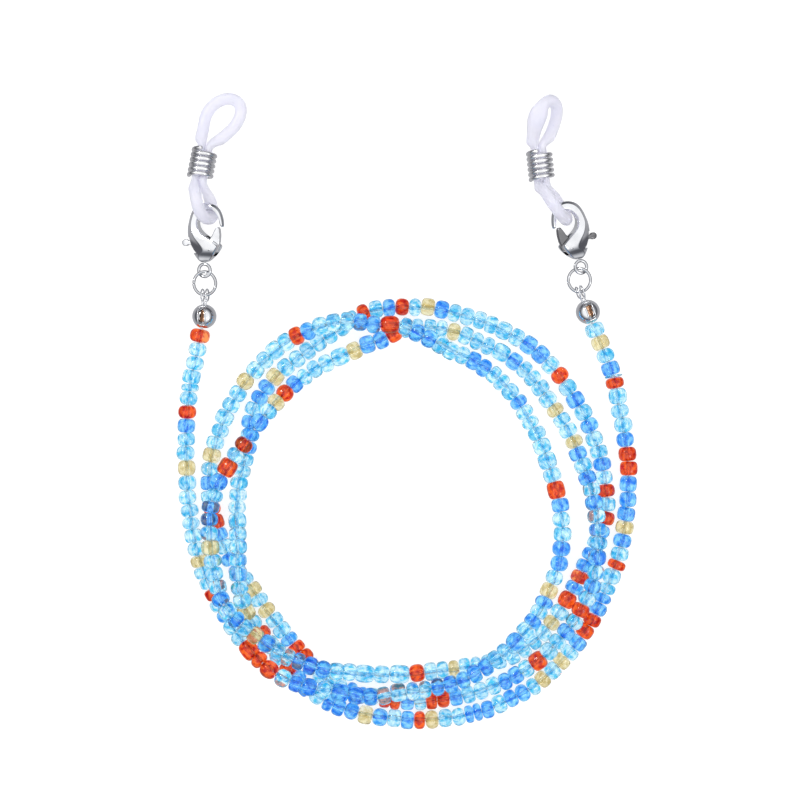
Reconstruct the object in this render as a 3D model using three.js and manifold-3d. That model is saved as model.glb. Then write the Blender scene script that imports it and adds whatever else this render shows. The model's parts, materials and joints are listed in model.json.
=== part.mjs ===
// Beaded eyeglass retainer: a strand of glass seed beads lying in a loose coil, and at each end a
// clamshell bead tip, a split jump ring, a lobster clasp and a moulded silicone temple loop with a
// wire grip coil. Millimetres, +Z up, laid on the plane z = 0.
import * as THREE from 'three';
import { mergeVertices } from 'three/addons/utils/BufferGeometryUtils.js';
import Module from 'manifold-3d';

const wasm = await Module();
wasm.setup();

// Driving dimensions.
const BEAD_R = 1.42; // half the height of a seed bead lying on its side
const RUN_R = 1.38; // the sleeves' flats, a little inside the beads so that crossings stay clear
const BEAD_HOLE_R = 0.55;
const THREAD_R = 0.2;
const COIL_CENTRE = [0.1, -16.6]; // middle of the coiled strand, seen from above
const LAID_AT = [-0.74, 0.07, 0.04]; // moves the whole strap so that its box is centred on the origin
const RUN_COUNT = 24; // sleeves of threaded beads between the loose end beads
const RUN_STEPS = 6;
const RUN_GAP = 0.6;
const END_STEPS = 5; // thread steps beside the loose end beads
const END_BEAD_COUNT = 4;
const END_BEAD_START = 3.15; // along the strand from the thread's end to the first bead
const END_BEAD_PITCH = 2.25;
const END_BEAD_LENGTH = 2.1;

const TIP_R = 1.95; // bead tip: hollow ball closed over the crimp
const TIP_WALL = 0.35;
const TIP_SLOT = 1.0;
const TIP_SLOT_LENGTH = 3.0;
const TIP_SLOT_FLOOR = 0.3; // height of the slot's end walls above the ball's middle
const TIP_HOLE_R = 0.95;
const PRONG_OFFSET = 0.38;
const PRONG_REACH = 3.45;
const PRONG_LOOP_R = 0.93;
const PRONG_WIRE_R = 0.14;
const PRONG_STEM_R = 0.19;
const PRONG_STEM_START = 1.72; // from the ball's middle, just inside its wall
const CRIMP_R = 0.68;
const CRIMP_HOLE_R = 0.42;
const CRIMP_LENGTH = 1.7;
const CRIMP_AT = 1.05; // along the strand from the thread's end to the crimp's middle

const RING_R = 1.88; // jump ring, to the middle of the wire
const RING_WIRE_R = 0.25;
const RING_SPLIT_DEG = 4;

const CAST_LOOP_R = 1.0; // loop cast on the clasp's lower end
const CAST_LOOP_WIRE_R = 0.27;
const CLASP_SPAN = 12; // wider than the body, for the cut that tapers its thickness
const CLASP_BLANK_HALF = 1.6; // half the plate the body is cut from
const CLASP_SLOT_HALF = 0.62;
const LEVER_HALF = 0.45;
const PIVOT = [-1.5, 3.4];
const PIVOT_HOLE_R = 0.45;
const RIVET_R = 0.4;
const RIVET_HALF = 1.25;
const SPRING_R = 0.62; // spring, to the middle of the wire
const SPRING_WIRE_R = 0.045;

const CORD_R = 0.975; // silicone cord of the temple loop
const ARM_OFFSET = 1.0; // each arm from the neck's middle, before it is squeezed
const NECK_SQUEEZE = 0.64;
const NECK_SWELL = 1.05;
const NECK_HALF = 3.0;
const GRIP_R = 1.78; // grip coil, to the middle of the wire
const GRIP_WIRE_R = 0.36;
const GRIP_PITCH = 0.83;
const GRIP_TURNS = 5.2;

// The strand's middle line: [degrees clockwise from +Y, distance from the coil's middle, height].
// It starts in the left bead tip, goes round three and two thirds times and ends in the right one.
const STRAND = [
  [315.7, 45.7, 1.95], [314.7, 45.0, 1.95], [311.4, 43.6, 1.5], [307, 41.8, 1.42],
  [301.4, 40.2, 1.42], [295, 38.4, 1.42], [288, 36.8, 1.42], [280, 35.5, 1.42],
  [270, 34.4, 1.42], [255, 33.7, 1.42], [240, 33.1, 1.42], [233, 33.0, 2.1],
  [227, 32.9, 3.3], [220, 32.7, 4.2], [213, 32.1, 4.4], [200, 30.3, 4.4],
  [190, 29.7, 4.4], [180, 28.5, 4.15], [168, 28.3, 3.9], [158, 28.1, 4.3],
  [150, 27.7, 4.4], [140, 27.2, 4.0], [128, 27.0, 3.0], [118, 26.7, 1.7],
  [108, 26.4, 1.42], [96, 25.8, 1.42], [80, 25.0, 1.42], [60, 25.0, 1.42],
  [42, 26.1, 1.42], [28, 26.9, 1.6], [16, 27.3, 2.9], [8, 28.4, 4.3], [0, 30.0, 4.4],
  [355, 30.3, 4.4], [350, 30.9, 4.1], [345, 31.8, 4.4], [340, 32.6, 4.3],
  [330, 33.2, 3.0], [324, 33.3, 2.2], [317, 33.3, 1.5], [308, 33.0, 1.42],
  [298, 32.6, 1.42], [285, 32.1, 1.42],
  [275, 31.3, 1.42], [270, 30.6, 1.42], [262, 29.7, 1.42], [255, 28.9, 1.42],
  [250, 28.1, 1.42], [244, 27.3, 1.42], [236, 27.0, 1.42], [226, 27.2, 1.42],
  [218, 27.7, 1.42], [208, 29.2, 1.42], [198, 30.0, 1.42], [180, 30.3, 1.42],
  [165, 30.8, 1.42], [152, 31.5, 1.6], [140, 32.0, 2.5], [130, 32.2, 3.1],
  [120, 32.4, 3.4], [110, 32.3, 3.9], [100, 31.6, 4.5], [90, 30.8, 4.0],
  [80, 30.2, 3.0], [72, 29.8, 1.8], [64, 29.7, 1.42], [40, 30.2, 1.42],
  [20, 30.3, 1.42], [8, 30.2, 1.42], [0, 29.6, 1.42],
  [355, 28.5, 1.42], [345, 27.5, 1.42], [330, 27.2, 1.42], [320, 27.1, 1.42],
  [313, 27.1, 2.5], [306, 27.1, 3.8], [298, 27.4, 4.4], [290, 28.3, 4.3],
  [280, 29.8, 4.15], [270, 30.9, 4.4], [260, 31.3, 4.2], [250, 31.7, 4.6],
  [244, 32.0, 5.7], [238, 31.5, 5.6], [230, 30.4, 4.9], [220, 29.5, 4.4],
  [213, 28.6, 4.7], [207, 27.8, 4.5], [201, 27.1, 3.4], [194, 26.6, 1.9],
  [186, 26.2, 1.42], [176, 26.0, 1.42], [167, 26.1, 1.42], [158, 26.8, 1.42],
  [150, 27.9, 1.42], [142, 29.0, 1.42], [130, 29.7, 1.42], [115, 30.1, 1.42],
  [106, 30.5, 1.42], [98, 31.6, 1.42], [90, 32.7, 1.42], [75, 33.0, 1.42],
  [60, 33.2, 1.42], [45, 33.7, 1.42], [30, 33.7, 1.42], [10, 33.4, 1.42], [0, 33.2, 1.42],
  [355, 33.2, 1.42], [348, 32.7, 1.42], [340, 31.4, 1.42], [330, 30.4, 1.42],
  [318, 30.1, 1.42], [308, 29.7, 1.42], [300, 28.5, 1.42], [292, 27.1, 1.42],
  [280, 26.8, 1.42], [270, 26.7, 1.5], [264, 26.7, 2.8], [258, 27.0, 4.3],
  [250, 28.0, 4.7], [244, 28.9, 4.3], [239, 29.6, 3.2], [234, 29.9, 1.9], [228, 30.1, 1.42],
  [220, 30.7, 1.42], [213, 31.6, 1.42], [205, 32.6, 1.42], [195, 33.0, 1.42],
  [180, 33.3, 1.42], [168, 33.8, 1.42], [155, 34.5, 1.42], [140, 35.0, 1.42],
  [125, 35.0, 1.42], [112, 35.0, 1.42], [100, 35.5, 1.42], [88, 36.2, 1.42],
  [76, 37.3, 1.42], [64, 38.8, 1.42], [56, 40.6, 1.42], [50, 41.8, 1.42],
  [46.3, 42.7, 1.5], [42.4, 44.1, 1.95], [41.3, 44.6, 1.95],
];

// Each end: where its pieces lie, how far each is turned from +Y (heading), tipped up (pitch) and
// rolled about its own length, in degrees. spine is the side of the clasp's solid back.
const ENDS = [
  {
    side: 'left',
    spine: -1,
    tip: { at: [-31.9, 15.08, 1.95], heading: -1, pitch: -4, roll: -11 },
    ring: { at: [-31.85, 20.4, 1.7], heading: 0, pitch: 0, roll: 27 },
    clasp: { at: [-31.9, 22.5, 1.76], heading: 2.2, pitch: 4.5, roll: -18 },
    grip: { at: [-32.18, 39.6, 2.3], heading: -10, pitch: -6, roll: 0 },
    eye: [
      [-32.2, 45.2, 1.3], [-31.6, 47.8, 1.0], [-30.2, 49.5, 1.0], [-28.0, 50.25, 1.0],
      [-26.5, 49.6, 1.0], [-26.1, 48.2, 1.0], [-26.9, 46.1, 1.0], [-28.6, 44.3, 1.3],
    ],
    tail: [
      [-31.3, 34.9, 1.45], [-30.9, 33.3, 1.0], [-30.65, 31.9, 1.1], [-30.8, 30.9, 2.2],
      [-31.5, 30.75, 3.7], [-32.3, 31.6, 4.6], [-32.8, 33.1, 4.6], [-33.2, 34.9, 3.9],
    ],
  },
  {
    side: 'right',
    spine: 1,
    tip: { at: [29.85, 15.8, 1.95], heading: 21, pitch: -4, roll: 8 },
    ring: { at: [28.5, 20.92, 1.7], heading: 7, pitch: 0, roll: -25 },
    clasp: { at: [28.75, 23.05, 1.76], heading: 10.4, pitch: 4.5, roll: 18 },
    grip: { at: [22.18, 39.35, 2.25], heading: 6, pitch: 0, roll: 0 },
    eye: [
      [21.0, 44.4, 3.3], [21.4, 46.6, 4.7], [22.2, 48.7, 5.3], [23.5, 49.9, 4.7],
      [24.6, 49.3, 3.2], [24.8, 47.6, 1.9], [24.4, 45.8, 1.2], [23.9, 44.3, 1.3],
    ],
    tail: [
      [24.0, 35.2, 1.4], [25.1, 33.4, 1.0], [26.0, 32.0, 1.0], [26.4, 30.85, 1.9],
      [26.05, 30.55, 3.9], [25.0, 31.4, 5.45], [23.8, 33.1, 5.8], [22.7, 35.1, 4.7],
    ],
  },
];

const metal = { color: 0xd8dade, metalness: 1.0, roughness: 0.16 };
const MATERIALS = {
  glass: { color: 0x9fd8ef, metalness: 0.0, roughness: 0.12 },
  thread: { color: 0xf2f2ee, metalness: 0.0, roughness: 0.6 },
  silicone: { color: 0xe6e7f5, metalness: 0.0, roughness: 0.35 },
  copper: { color: 0xc2966a, metalness: 1.0, roughness: 0.25 },
  metal,
  steel: { ...metal, roughness: 0.3 },
};

const strap = new THREE.Group();
strap.position.set(...LAID_AT);

/** Adds one named mesh of its own material to a parent. */
function addMesh(parent, name, geometry, material) {
  const mesh = new THREE.Mesh(geometry, new THREE.MeshStandardMaterial(MATERIALS[material]));
  mesh.name = name;
  parent.add(mesh);
  return mesh;
}

/** A group placed by a point and its heading, pitch and roll. */
function placed({ at, heading, pitch, roll }) {
  const group = new THREE.Group();
  const [h, p, r] = [heading, pitch, roll].map(THREE.MathUtils.degToRad);
  group.position.set(...at);
  group.rotation.set(p, r, h, 'ZXY');
  group.updateMatrixWorld();
  return group;
}

/** A regular polygon with a flat side down. */
function polygon(radius, sides) {
  const points = [];
  for (let i = 0; i < sides; i += 1) {
    const a = ((i + 0.5) * 2 * Math.PI) / sides - Math.PI / 2;
    points.push(new THREE.Vector2(radius * Math.cos(a), radius * Math.sin(a)));
  }
  return points;
}

/** Straight steps from station to station, whose section keeps the same side facing down. */
class StationPath extends THREE.Curve {
  constructor(stations) {
    super();
    this.stations = stations;
  }

  getSpacedPoints() {
    return this.stations.map((p) => p.clone());
  }

  computeFrenetFrames() {
    const last = this.stations.length - 1;
    const frames = { tangents: [], normals: [], binormals: [] };
    this.stations.forEach((_, i) => {
      const before = this.stations[Math.max(i - 1, 0)];
      const after = this.stations[Math.min(i + 1, last)];
      const tangent = after.clone().sub(before).normalize();
      const normal = new THREE.Vector3(0, 0, 1).cross(tangent).normalize();
      frames.tangents.push(tangent);
      frames.normals.push(normal);
      frames.binormals.push(tangent.clone().cross(normal));
    });
    return frames;
  }
}

/** The section swept through the stations. */
function sweep(section, stations) {
  const steps = stations.length - 1;
  return new THREE.ExtrudeGeometry(section, { steps, extrudePath: new StationPath(stations) });
}

/** A wire of a few sides along a curve. */
function wire(curve, radius, steps, sides = 6) {
  return new THREE.ExtrudeGeometry(new THREE.Shape(polygon(radius, sides)), { steps, extrudePath: curve });
}

/** A helix about Y, or an open ring when its pitch is 0. */
class Helix extends THREE.Curve {
  constructor(radius, pitch, turns, start = 0) {
    super();
    Object.assign(this, { radius, pitch, turns, start });
  }

  getPoint(t, target = new THREE.Vector3()) {
    const a = this.start + t * this.turns * 2 * Math.PI;
    const y = (t - 0.5) * this.turns * this.pitch;
    return target.set(this.radius * Math.cos(a), y, -this.radius * Math.sin(a));
  }
}

/** A closed geometry as a manifold solid. */
function solid(geometry, matrix = new THREE.Matrix4()) {
  const plain = new THREE.BufferGeometry();
  plain.setAttribute('position', geometry.getAttribute('position').clone());
  plain.setIndex(geometry.getIndex());
  plain.applyMatrix4(matrix);
  const merged = mergeVertices(plain, 1e-5);
  const mesh = new wasm.Mesh({
    numProp: 3,
    vertProperties: new Float32Array(merged.getAttribute('position').array),
    triVerts: new Uint32Array(merged.getIndex().array),
  });
  mesh.merge();
  return new wasm.Manifold(mesh);
}

/** A manifold solid as a geometry. */
function geometryOf(body) {
  const { vertProperties, triVerts } = body.getMesh();
  const geometry = new THREE.BufferGeometry();
  geometry.setAttribute('position', new THREE.BufferAttribute(vertProperties, 3));
  geometry.setIndex(new THREE.BufferAttribute(triVerts, 1));
  return geometry;
}

const move = (x, y, z) => new THREE.Matrix4().makeTranslation(x, y, z);
const turnX = (angle) => new THREE.Matrix4().makeRotationX(angle);
const turnY = (angle) => new THREE.Matrix4().makeRotationY(angle);

/** An outline in XY as a plate from -half to +half in Z. */
function plate(shape, half) {
  const settings = { depth: 2 * half, bevelEnabled: false, curveSegments: 3 };
  return solid(new THREE.ExtrudeGeometry(shape, settings), move(0, 0, -half));
}

/** A smooth closed outline through points, in straight steps. */
function outline(points, steps) {
  const curve = new THREE.SplineCurve(points.map(([x, y]) => new THREE.Vector2(x, y)));
  return new THREE.Shape(curve.getPoints(steps));
}

// ---- Strand: thread, runs of beads, loose end beads ----

const strandCurve = new THREE.CatmullRomCurve3(
  STRAND.map(([angle, radius, height]) => {
    const a = THREE.MathUtils.degToRad(angle);
    const [x, y] = COIL_CENTRE;
    return new THREE.Vector3(x + radius * Math.sin(a), y + radius * Math.cos(a), height);
  }),
  false,
  'centripetal',
);
strandCurve.arcLengthDivisions = 4000;
const strandLength = strandCurve.getLength();
const strandPoint = (s) => strandCurve.getPointAt(Math.min(s / strandLength, 1));

/** Points at even steps along the strand. */
function stationsBetween(from, to, steps) {
  const stations = [];
  for (let i = 0; i <= steps; i += 1) {
    stations.push(strandPoint(from + ((to - from) * i) / steps));
  }
  return stations;
}

const runsStart = END_BEAD_START + END_BEAD_COUNT * END_BEAD_PITCH;
const runLength = (strandLength - 2 * runsStart) / RUN_COUNT;

/** The stringing thread, from crimp to crimp, through the same stations as the runs. */
function addThread() {
  const stations = [
    ...stationsBetween(0, runsStart, END_STEPS),
    ...stationsBetween(runsStart, strandLength - runsStart, RUN_COUNT * RUN_STEPS).slice(1, -1),
    ...stationsBetween(strandLength - runsStart, strandLength, END_STEPS),
  ];
  addMesh(strap, 'stringing_thread', sweep(new THREE.Shape(polygon(THREAD_R, 8)), stations), 'thread');
}

/** Sleeves that stand for the beads threaded tight on the coiled part. */
function addBeadRuns() {
  const section = new THREE.Shape(polygon(RUN_R / Math.cos(Math.PI / 8), 8));
  section.holes.push(new THREE.Path(polygon(BEAD_HOLE_R, 6)));
  for (let run = 0; run < RUN_COUNT; run += 1) {
    const from = runsStart + run * runLength;
    const stations = stationsBetween(from, from + runLength, RUN_STEPS);
    const [first, second] = stations;
    const [beforeLast, last] = stations.slice(-2);
    const inset = RUN_GAP / 2;
    first.addScaledVector(second.clone().sub(first).normalize(), inset);
    last.addScaledVector(beforeLast.clone().sub(last).normalize(), inset);
    const name = `bead_run_${String(run + 1).padStart(2, '0')}`;
    addMesh(strap, name, sweep(section, stations), 'glass');
  }
}

/** One glass bead about Y: a short rounded barrel with a hole. */
function beadGeometry() {
  const half = END_BEAD_LENGTH / 2;
  const profile = [
    [BEAD_HOLE_R, -half],
    [BEAD_R * 0.8, -half],
    [BEAD_R, -half * 0.5],
    [BEAD_R, half * 0.5],
    [BEAD_R * 0.8, half],
    [BEAD_HOLE_R, half],
    [BEAD_HOLE_R, -half],
  ];
  return new THREE.LatheGeometry(profile.map(([x, y]) => new THREE.Vector2(x, y)), 12);
}

/** A turned piece threaded on the strand, this far along it from one end's crimp. */
function addThreaded(side, name, geometry, material, fromEnd) {
  const s = side === 'left' ? fromEnd : strandLength - fromEnd;
  const piece = addMesh(strap, `${side}_${name}`, geometry, material);
  piece.position.copy(strandPoint(s));
  const tangent = strandCurve.getTangentAt(s / strandLength);
  piece.quaternion.setFromUnitVectors(new THREE.Vector3(0, 1, 0), tangent);
}

/** The beads next to each bead tip, each free to turn on the thread. */
function addEndBeads(side) {
  for (let i = 0; i < END_BEAD_COUNT; i += 1) {
    const fromEnd = END_BEAD_START + (i + 0.5) * END_BEAD_PITCH;
    addThreaded(side, `end_bead_${i + 1}`, beadGeometry(), 'glass', fromEnd);
  }
}

// ---- Bead tip and crimp ----

/** The hollow ball with its lengthwise slot, thread hole and the two prongs closed on the ring. */
function beadTipGeometry() {
  const ball = solid(new THREE.SphereGeometry(TIP_R, 16, 10));
  const hollow = solid(new THREE.SphereGeometry(TIP_R - TIP_WALL, 14, 8));
  const cut = new THREE.BoxGeometry(TIP_SLOT, TIP_SLOT_LENGTH, TIP_R);
  const slot = solid(cut, move(0, 0, TIP_R / 2 + TIP_SLOT_FLOOR));
  const drill = new THREE.CylinderGeometry(TIP_HOLE_R, TIP_HOLE_R, TIP_R, 10);
  const hole = solid(drill, move(0, -TIP_R, 0));
  let tip = ball.subtract(hollow).subtract(slot).subtract(hole);
  const loop = new THREE.TorusGeometry(PRONG_LOOP_R, PRONG_WIRE_R, 6, 12);
  const stemLength = PRONG_REACH - PRONG_LOOP_R - PRONG_STEM_START;
  const stem = new THREE.CylinderGeometry(PRONG_STEM_R, PRONG_STEM_R, stemLength, 6);
  for (const x of [-PRONG_OFFSET, PRONG_OFFSET]) {
    tip = tip.add(solid(loop, move(x, PRONG_REACH, 0).multiply(turnY(Math.PI / 2))));
    tip = tip.add(solid(stem, move(x, PRONG_STEM_START + stemLength / 2, 0)));
  }
  return geometryOf(tip);
}

/** The crimp bead pressed on the thread inside the ball. */
function crimpGeometry() {
  const half = CRIMP_LENGTH / 2;
  const profile = [
    [CRIMP_HOLE_R, -half], [CRIMP_R - 0.1, -half], [CRIMP_R, -half + 0.2], [CRIMP_R, half - 0.2],
    [CRIMP_R - 0.1, half], [CRIMP_HOLE_R, half], [CRIMP_HOLE_R, -half],
  ];
  return new THREE.LatheGeometry(profile.map(([x, y]) => new THREE.Vector2(x, y)), 10);
}

// ---- Jump ring ----

/** A round ring of wire in XY, open by a thin split. */
function jumpRingGeometry() {
  const turns = 1 - RING_SPLIT_DEG / 360;
  const geometry = wire(new Helix(RING_R, 0, turns, Math.PI + 0.1), RING_WIRE_R, 22);
  return geometry.rotateX(Math.PI / 2);
}

// ---- Lobster clasp; its own frame has the cast loop's middle at the origin and the hook at +Y ----

const CLASP_OUTLINE = [
  [0.46, 1.2], [1.2, 1.9], [1.85, 3.2], [2.3, 4.7], [2.5, 6.2], [2.25, 7.9], [1.7, 9.3],
  [0.7, 10.4], [-0.8, 10.85], [-2.3, 10.45], [-3.3, 9.4], [-3.75, 8.1], [-3.75, 6.9],
  [-3.25, 6.95], [-3.0, 7.9], [-2.3, 9.1], [-1.25, 9.55], [-0.2, 9.15], [0.5, 8.25],
  [0.6, 7.15], [-0.3, 5.8], [-1.3, 5.1], [-2.85, 4.05], [-2.6, 3.1], [-1.6, 1.9], [-0.6, 1.15],
  [0.46, 1.2],
];
const CLASP_DEPTH = [[0.8, 0.9], [1.8, 1.3], [4.6, 1.45], [6.4, 1.2], [8.4, 0.8], [9.6, 0.55], [11.2, 0.5]];
const LEVER_SLOT = [
  [-3.7, 5.0], [-3.3, 3.2], [-2.0, 2.1], [0.2, 2.1], [3.2, 2.1], [3.2, 5.4], [0.4, 5.4], [-1.2, 5.6],
];
const LEVER_OUTLINE = [
  [-2.7, 3.7], [-3.0, 4.6], [-3.1, 5.6], [-3.05, 6.45], [-2.85, 6.85], [-2.5, 6.85],
  [-2.15, 6.3], [-1.75, 5.55], [-1.1, 4.8], [1.2, 4.75], [2.5, 4.85], [2.8, 5.12], [3.2, 5.1],
  [3.5, 4.85], [3.57, 4.55], [3.45, 4.2], [3.15, 4.0], [2.8, 4.02], [2.5, 4.25], [1.2, 3.95],
  [-0.6, 3.0], [-1.5, 2.55], [-2.3, 2.9],
];

const vectors = (points) => points.map(([x, y]) => new THREE.Vector2(x, y));

/** A round pin through the clasp's pivot. */
function pivotPin(radius, half) {
  const pin = new THREE.CylinderGeometry(radius, radius, 2 * half, 12);
  return solid(pin, move(PIVOT[0], PIVOT[1], 0).multiply(turnX(Math.PI / 2)));
}

/** Hook, body and cast loop in one, slotted for the lever and drilled for its rivet. */
function claspBody() {
  const front = plate(outline(CLASP_OUTLINE, 66), CLASP_BLANK_HALF);
  const upper = CLASP_DEPTH.map(([y, half]) => new THREE.Vector2(-half, y));
  const lower = CLASP_DEPTH.map(([y, half]) => new THREE.Vector2(half, y)).reverse();
  const profile = new THREE.ExtrudeGeometry(new THREE.Shape([...upper, ...lower]), {
    depth: CLASP_SPAN,
    bevelEnabled: false,
  });
  const depth = solid(profile, turnY(Math.PI / 2).multiply(move(0, 0, -CLASP_SPAN / 2)));
  const slot = plate(new THREE.Shape(vectors(LEVER_SLOT)), CLASP_SLOT_HALF);
  const loop = solid(new THREE.TorusGeometry(CAST_LOOP_R, CAST_LOOP_WIRE_R, 8, 16));
  const bore = pivotPin(PIVOT_HOLE_R, CLASP_BLANK_HALF);
  return front.intersect(depth).subtract(slot).subtract(bore).add(loop);
}

/** Gate and thumb nub in one plate, turning on the rivet. */
function claspLever() {
  const lever = plate(new THREE.Shape(vectors(LEVER_OUTLINE)), LEVER_HALF);
  return lever.subtract(pivotPin(PIVOT_HOLE_R, CLASP_BLANK_HALF));
}

/** A small torsion spring round the rivet, beside the lever. */
function claspSpring() {
  return solid(
    wire(new Helix(SPRING_R, SPRING_WIRE_R, 0.92), SPRING_WIRE_R, 12),
    move(PIVOT[0], PIVOT[1], (LEVER_HALF + CLASP_SLOT_HALF) / 2).multiply(turnX(Math.PI / 2)),
  );
}

/** The same piece for a clasp whose back is on the other side. */
function handed(body, spine) {
  return geometryOf(spine > 0 ? body : body.mirror([1, 0, 0]));
}

/** The clasp's four pieces. */
function addClasp(end) {
  const group = placed(end.clasp);
  strap.add(group);
  const { side, spine } = end;
  addMesh(group, `${side}_clasp_body`, handed(claspBody(), spine), 'metal');
  addMesh(group, `${side}_clasp_lever`, handed(claspLever(), spine), 'metal');
  addMesh(group, `${side}_clasp_rivet`, handed(pivotPin(RIVET_R, RIVET_HALF), spine), 'steel');
  addMesh(group, `${side}_clasp_spring`, handed(claspSpring(), spine), 'steel');
}

// ---- Silicone temple loop and its grip coil ----

/** The closed ring of cord: eye above the neck, tail below it, both arms squeezed in the neck. */
function siliconeGeometry(end) {
  const neck = placed(end.grip);
  const neckPoint = (x, y) => new THREE.Vector3(x, y, 0).applyMatrix4(neck.matrixWorld);
  const rise = [-NECK_HALF, -NECK_HALF / 2, 0, NECK_HALF / 2, NECK_HALF];
  const points = [
    ...rise.map((y) => neckPoint(-ARM_OFFSET, y)),
    ...end.eye.map((p) => new THREE.Vector3(...p)),
    ...rise.map((y) => neckPoint(ARM_OFFSET, -y)),
    ...end.tail.map((p) => new THREE.Vector3(...p)),
  ];
  const curve = new THREE.CatmullRomCurve3(points, true, 'centripetal');
  const geometry = new THREE.TubeGeometry(curve, 52, CORD_R, 8, true);
  squeezeNeck(geometry, neck.matrixWorld);
  return geometry;
}

/** Narrows the cord's two arms towards the neck's middle line and swells them across it. */
function squeezeNeck(geometry, neckMatrix) {
  const inverse = neckMatrix.clone().invert();
  const position = geometry.getAttribute('position');
  const point = new THREE.Vector3();
  for (let i = 0; i < position.count; i += 1) {
    point.fromBufferAttribute(position, i).applyMatrix4(inverse);
    const beyond = Math.abs(point.y) - NECK_HALF;
    const share = 1 - THREE.MathUtils.smoothstep(beyond, -0.2, 1.4);
    point.x *= 1 - share * (1 - NECK_SQUEEZE);
    point.z *= 1 + share * (NECK_SWELL - 1);
    point.applyMatrix4(neckMatrix);
    position.setXYZ(i, point.x, point.y, point.z);
  }
}

/** The open wire coil that grips the neck. */
function addGripCoil(end) {
  const group = placed(end.grip);
  strap.add(group);
  const coil = wire(new Helix(GRIP_R, GRIP_PITCH, GRIP_TURNS, Math.PI), GRIP_WIRE_R, 72);
  addMesh(group, `${end.side}_grip_coil`, coil, 'metal');
}

addThread();
addBeadRuns();
for (const end of ENDS) {
  addEndBeads(end.side);
  addThreaded(end.side, 'crimp_bead', crimpGeometry(), 'copper', CRIMP_AT);
  const tip = placed(end.tip);
  const ring = placed(end.ring);
  strap.add(tip, ring);
  addMesh(tip, `${end.side}_bead_tip`, beadTipGeometry(), 'metal');
  addMesh(ring, `${end.side}_jump_ring`, jumpRingGeometry(), 'metal');
  addClasp(end);
  addMesh(strap, `${end.side}_silicone_loop`, siliconeGeometry(end), 'silicone');
  addGripCoil(end);
}

export default strap;
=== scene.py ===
import json
import math
import random

import bpy
from mathutils import Matrix, Vector

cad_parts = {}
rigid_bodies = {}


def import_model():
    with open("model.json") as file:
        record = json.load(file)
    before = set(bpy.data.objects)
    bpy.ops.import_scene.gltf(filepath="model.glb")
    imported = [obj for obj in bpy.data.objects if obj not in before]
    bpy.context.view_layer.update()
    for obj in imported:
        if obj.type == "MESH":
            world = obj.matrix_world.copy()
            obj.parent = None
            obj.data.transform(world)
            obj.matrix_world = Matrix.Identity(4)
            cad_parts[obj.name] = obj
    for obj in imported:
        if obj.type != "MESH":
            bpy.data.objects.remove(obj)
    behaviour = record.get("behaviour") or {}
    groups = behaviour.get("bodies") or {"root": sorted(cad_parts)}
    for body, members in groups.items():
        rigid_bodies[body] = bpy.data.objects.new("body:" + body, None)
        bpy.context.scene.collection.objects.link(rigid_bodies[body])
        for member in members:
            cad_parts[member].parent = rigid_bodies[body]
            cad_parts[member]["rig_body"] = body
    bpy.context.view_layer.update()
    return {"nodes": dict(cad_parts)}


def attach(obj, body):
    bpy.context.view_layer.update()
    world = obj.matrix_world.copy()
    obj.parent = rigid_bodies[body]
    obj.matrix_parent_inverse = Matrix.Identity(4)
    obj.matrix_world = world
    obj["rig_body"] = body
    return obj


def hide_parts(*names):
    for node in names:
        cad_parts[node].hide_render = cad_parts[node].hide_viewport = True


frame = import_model()
random.seed(7)

# Sizes are in millimetres, in the part's own layout; LAID puts them in the row frame, in metres.
MM = 0.001
LAID = Matrix.Scale(MM, 4) @ Matrix.Translation((-0.74, 0.07, 0.04))

THREAD_R, THREAD_STEP = 0.2, 1.0
COIL_CENTRE = (0.1, -16.6)
# How far either side of a point the route's direction is measured.
TANGENT_REACH = 0.3

BEAD_R, BEAD_HOLE_R = 1.46, 0.32
BEAD_LIP = 0.16          # flat end between the bore and the rounded outside
BORE_INSET = 0.1         # how far the bore's edge lies inside the bead's end
BEAD_GAP, END_BEAD_GAP = 0.05, 0.08
BEAD_STEPS, BEAD_SIDES, RIBBED_SIDES = 9, 28, 42
RIB_COUNT, RIB_DEPTH = 7, 0.13
OVALNESS, WAVINESS = 0.008, 0.012
THINNEST, THICKEST = 0.96, 1.02          # a bead's width, as a share of BEAD_R
ROUNDEST, SQUAREST = 2.0, 3.4
TILT, LEAN, OFF_CENTRE = 4, 5, 0.1       # degrees about X and Z, and millimetres
LONG_BEAD, SHORT_BEAD = 1.3, 0.72
FIRST_END_BEAD = 1.1     # the bead next to each tip is this much wider
END_BEAD_LOOSENESS = 0.3
END_BEAD_START, END_BEAD_PITCH, END_BEAD_COUNT = 3.15, 2.25, 4
RUN_COUNT = 24

CRIMP_AT = 1.05
TIP_R, TIP_WALL = 1.95, 0.3
TIP_OPEN_BELOW, TIP_ARC, TIP_STEPS = -70, 155, 20
SLOT_HALF, SLOT_LOW, SLOT_HIGH = 0.52, -1.5, 1.35
SLOT_FLOOR, SLOT_CEILING = 0.4, 3.0
RIM_WIRE_R, RIM_SUNK = 0.13, 0.03
PRONG_X, PRONG_WIRE_R, PRONG_HOOK_R, PRONG_HOOK_Y = 0.38, 0.135, 0.94, 3.45

RING_R, RING_WIRE_R = 1.88, 0.25
RING_STEPS, RING_SPLIT_AT, RING_GAP, RING_LIFT = 96, math.pi + 0.14, 0.2, 0.05

CAST_LOOP_R, CAST_LOOP_WIRE_R = 1.0, 0.27
PIVOT = (-1.5, 3.4)
LEVER_SLOT_HALF, LEVER_HALF, LEVER_ROUNDING = 0.62, 0.45, 0.14
SPRING_R, SPRING_WIRE_R, SPRING_LIFT, SPRING_ARC, SPRING_RISE = 0.62, 0.045, 0.535, 0.92, 0.055

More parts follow.
